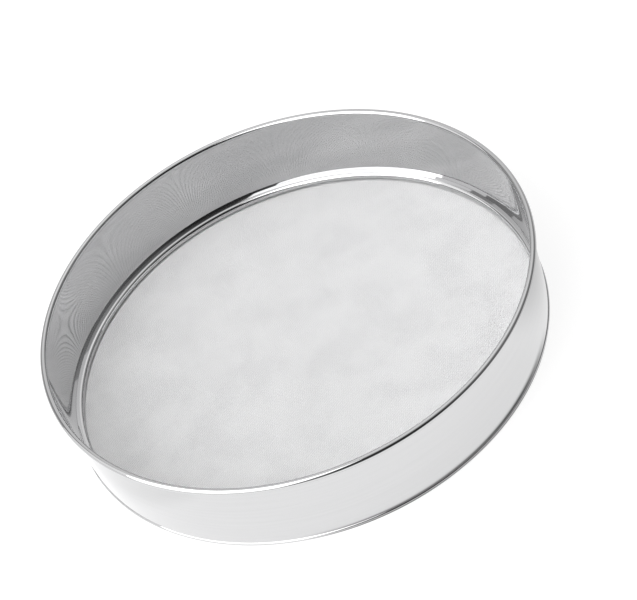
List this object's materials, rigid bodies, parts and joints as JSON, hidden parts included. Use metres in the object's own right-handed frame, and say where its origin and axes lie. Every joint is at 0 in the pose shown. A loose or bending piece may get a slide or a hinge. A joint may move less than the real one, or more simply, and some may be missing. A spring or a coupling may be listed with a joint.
{
  "type": "tamis drum sieve",
  "caption": "Round steel tamis: a shallow tapered drum with a wired rim bead and a fine wire cloth held on the turned-in foot by a rounded clamping ring.",
  "frame": {"origin": "on the table in the middle of the foot", "axes": "+Z along the drum's axis, towards the rim; +X along the weft"},
  "size_m": [0.3, 0.3, 0.054],
  "materials": {
    "drum_steel": "polished, the seat under the cloth satin",
    "rim_wire_steel": "drawn wire",
    "cloth_steel": "bright woven wire",
    "ring_steel": "polished"
  },
  "bodies": {
    "root": {"drum_wall": "drum_steel", "rim_wire": "rim_wire_steel", "weft_wires": "cloth_steel", "warp_wires": "cloth_steel", "retaining_ring": "ring_steel"}
  },
  "joints": []
}
